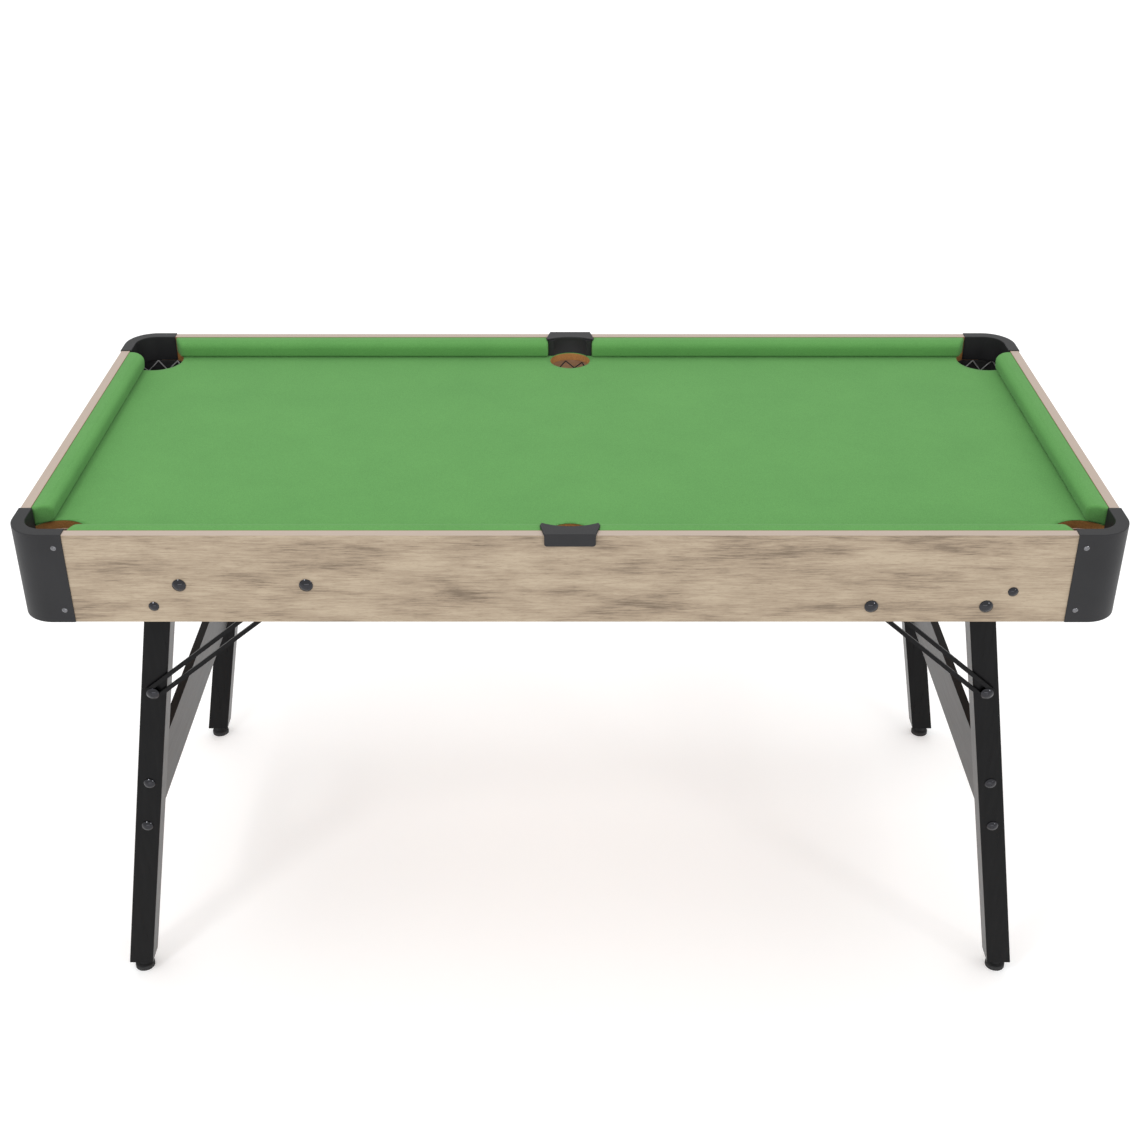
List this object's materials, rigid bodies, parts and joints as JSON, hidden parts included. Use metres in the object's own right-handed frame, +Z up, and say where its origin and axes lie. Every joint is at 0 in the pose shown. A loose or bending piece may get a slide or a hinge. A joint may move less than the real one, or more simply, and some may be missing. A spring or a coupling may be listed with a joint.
{
  "type": "pool table",
  "caption": "Small pool table with green cloth bed, oak aprons, black corner caps, net pockets and leg frames that fold under the bed.",
  "frame": {"origin": "on the floor, under the middle of the table", "axes": "+X along the table, +Y to the back, +Z up"},
  "size_m": [1.4962, 0.723, 0.803],
  "materials": {
    "oak_laminate": "satin printed oak laminate with a horizontal grain",
    "green_cloth": "fine woven green cloth",
    "fibreboard": "raw brown fibreboard",
    "black_plastic": "fine-grained black moulded plastic",
    "net_string": "knotted string and black webbing",
    "black_leg": "satin black foil over wood",
    "black_board": "satin black foil over fibreboard",
    "foot_rubber": "matt black rubber foot",
    "brace_steel": "black coated steel strip",
    "screw_steel": "bright plated screws",
    "dark_steel": "dark plated steel"
  },
  "bodies": {
    "table": {"back_apron": "oak_laminate", "back_left_corner_cap": "black_plastic", "back_left_corner_net": "net_string", "back_left_cushion": "green_cloth", "back_middle_net": "net_string", "back_pocket_plate": "black_plastic", "back_right_corner_cap": "black_plastic", "back_right_corner_net": "net_string", "back_right_cushion": "green_cloth", "bed_board": "fibreboard", "bed_cloth": "green_cloth", "bed_ledgers": "fibreboard", "brace_anchor_bolts": "dark_steel", "brace_anchor_nuts": "dark_steel", "corner_cap_screws": "screw_steel", "front_apron": "oak_laminate", "front_left_corner_cap": "black_plastic", "front_left_corner_net": "net_string", "front_left_cushion": "green_cloth", "front_middle_net": "net_string", "front_pocket_plate": "black_plastic", "front_right_corner_cap": "black_plastic", "front_right_corner_net": "net_string", "front_right_cushion": "green_cloth", "left_apron": "oak_laminate", "left_bearer_bolts": "dark_steel", "left_bed_bearer": "fibreboard", "left_cushion": "green_cloth", "left_leg_pivot_bolts": "dark_steel", "leg_pivot_nuts": "dark_steel", "leg_pivot_spacers": "dark_steel", "right_apron": "oak_laminate", "right_bearer_bolts": "dark_steel", "right_bed_bearer": "fibreboard", "right_cushion": "green_cloth", "right_leg_pivot_bolts": "dark_steel"},
    "left_leg_frame": {"front_left_leg": "black_leg", "back_left_leg": "black_leg", "left_stretcher": "black_board", "left_stretcher_screws": "dark_steel", "left_brace_pins": "dark_steel", "left_brace_washers": "dark_steel", "left_foot_inserts": "dark_steel"},
    "right_leg_frame": {"front_right_leg": "black_leg", "back_right_leg": "black_leg", "right_stretcher": "black_board", "right_stretcher_screws": "dark_steel", "right_brace_pins": "dark_steel", "right_brace_washers": "dark_steel", "right_foot_inserts": "dark_steel"},
    "left_braces": {"front_left_brace": "brace_steel", "back_left_brace": "brace_steel"},
    "right_braces": {"front_right_brace": "brace_steel", "back_right_brace": "brace_steel"},
    "front_left_foot": {"front_left_foot": "foot_rubber"},
    "back_left_foot": {"back_left_foot": "foot_rubber"},
    "front_right_foot": {"front_right_foot": "foot_rubber"},
    "back_right_foot": {"back_right_foot": "foot_rubber"}
  },
  "joints": [
    {"name": "left_fold", "type": "hinge", "parent": "table", "child": "left_leg_frame", "pos_m": [-0.5604, 0, 0.6914], "axis": [0, -1, 0], "range_deg": [0, 99]},
    {"name": "right_fold", "type": "hinge", "parent": "table", "child": "right_leg_frame", "pos_m": [0.5604, 0, 0.6914], "axis": [0, 1, 0], "range_deg": [0, 93]},
    {"name": "left_brace_swing", "type": "hinge", "parent": "left_leg_frame", "child": "left_braces", "pos_m": [-0.58682, 0, 0.53552], "axis": [0, -1, 0], "range_deg": [-131, 0]},
    {"name": "right_brace_swing", "type": "hinge", "parent": "right_leg_frame", "child": "right_braces", "pos_m": [0.58682, 0, 0.53552], "axis": [0, 1, 0], "range_deg": [-133, 0]},
    {"name": "front_left_foot_level", "type": "slide", "parent": "left_leg_frame", "child": "front_left_foot", "axis": [0, 0, -1], "range_m": [0, 0.008]},
    {"name": "back_left_foot_level", "type": "slide", "parent": "left_leg_frame", "child": "back_left_foot", "axis": [0, 0, -1], "range_m": [0, 0.008]},
    {"name": "front_right_foot_level", "type": "slide", "parent": "right_leg_frame", "child": "front_right_foot", "axis": [0, 0, -1], "range_m": [0, 0.008]},
    {"name": "back_right_foot_level", "type": "slide", "parent": "right_leg_frame", "child": "back_right_foot", "axis": [0, 0, -1], "range_m": [0, 0.008]}
  ],
  "couplings": [
    {"joint": "left_brace_swing", "follows": "left_fold", "ratio": -1.3184},
    {"joint": "right_brace_swing", "follows": "right_fold", "ratio": -1.423}
  ]
}
